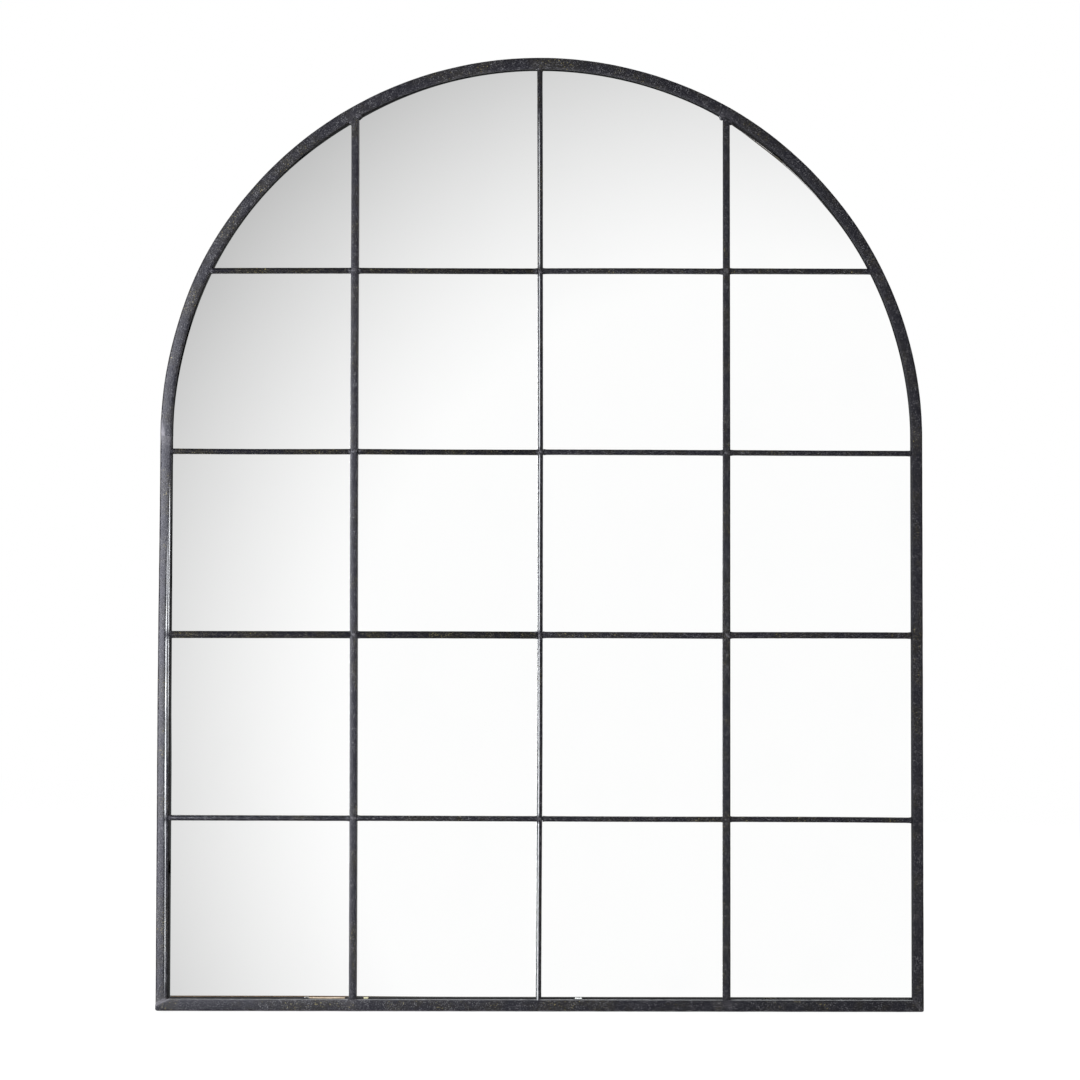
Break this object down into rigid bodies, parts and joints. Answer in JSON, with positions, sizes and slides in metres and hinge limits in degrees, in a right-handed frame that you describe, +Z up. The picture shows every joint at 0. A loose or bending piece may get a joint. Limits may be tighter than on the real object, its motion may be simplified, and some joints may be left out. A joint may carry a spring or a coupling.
{
  "type": "arched window mirror",
  "caption": "Tall wall mirror with a round-topped blackened iron tube frame and a welded window grid of bars across the glass, hung on two swinging D-rings at the back.",
  "frame": {"origin": "middle of the underside of the bottom rail, at half the frame's depth", "axes": "+Z up the mirror, +Y from the front face towards the wall, +X to the right as seen from the front"},
  "size_m": [0.8, 0.025, 0.9999],
  "materials": {
    "blackened_iron": "blackened iron with a satin wax sheen, fine mottling and worn olive-brass flecks along the edges",
    "mirror": "silvered float glass with ground edges",
    "shim_wood": "raw softwood slips",
    "backing_board": "plain fibreboard, smooth and brown",
    "zinc_steel": "bright zinc plate, slightly clouded",
    "hanger_steel": "nickel plate on rolled strip and wire"
  },
  "bodies": {
    "mirror_frame": {"arch_tube": "blackened_iron", "backing_board": "backing_board", "bottom_tube": "blackened_iron", "centre_rod": "blackened_iron", "centre_rod_welds": "blackened_iron", "clip_screws": "zinc_steel", "flat_bar_welds": "blackened_iron", "glass_shims": "shim_wood", "hanger_welds": "blackened_iron", "left_flat_bar": "blackened_iron", "left_hanger_lug": "blackened_iron", "left_hanger_strap": "hanger_steel", "left_upright": "blackened_iron", "mirror_glass": "mirror", "retaining_clips": "zinc_steel", "right_flat_bar": "blackened_iron", "right_hanger_lug": "blackened_iron", "right_hanger_strap": "hanger_steel", "right_upright": "blackened_iron", "row_1_rod_1": "blackened_iron", "row_1_rod_2": "blackened_iron", "row_1_rod_3": "blackened_iron", "row_1_rod_4": "blackened_iron", "row_1_welds": "blackened_iron", "row_2_rod_1": "blackened_iron", "row_2_rod_2": "blackened_iron", "row_2_rod_3": "blackened_iron", "row_2_rod_4": "blackened_iron", "row_2_welds": "blackened_iron", "row_3_rod_1": "blackened_iron", "row_3_rod_2": "blackened_iron", "row_3_rod_3": "blackened_iron", "row_3_rod_4": "blackened_iron", "row_3_welds": "blackened_iron", "row_4_rod_1": "blackened_iron", "row_4_rod_2": "blackened_iron", "row_4_rod_3": "blackened_iron", "row_4_rod_4": "blackened_iron", "row_4_welds": "blackened_iron", "strap_screws": "zinc_steel"},
    "left_ring": {"left_hanger_ring": "hanger_steel"},
    "right_ring": {"right_hanger_ring": "hanger_steel"}
  },
  "joints": [
    {"name": "left_ring_swing", "type": "hinge", "parent": "mirror_frame", "child": "left_ring", "pos_m": [-0.348, 0.0075, 0.712], "axis": [1, 0, 0], "range_deg": [0, 180]},
    {"name": "right_ring_swing", "type": "hinge", "parent": "mirror_frame", "child": "right_ring", "pos_m": [0.348, 0.0075, 0.712], "axis": [1, 0, 0], "range_deg": [0, 180]}
  ]
}
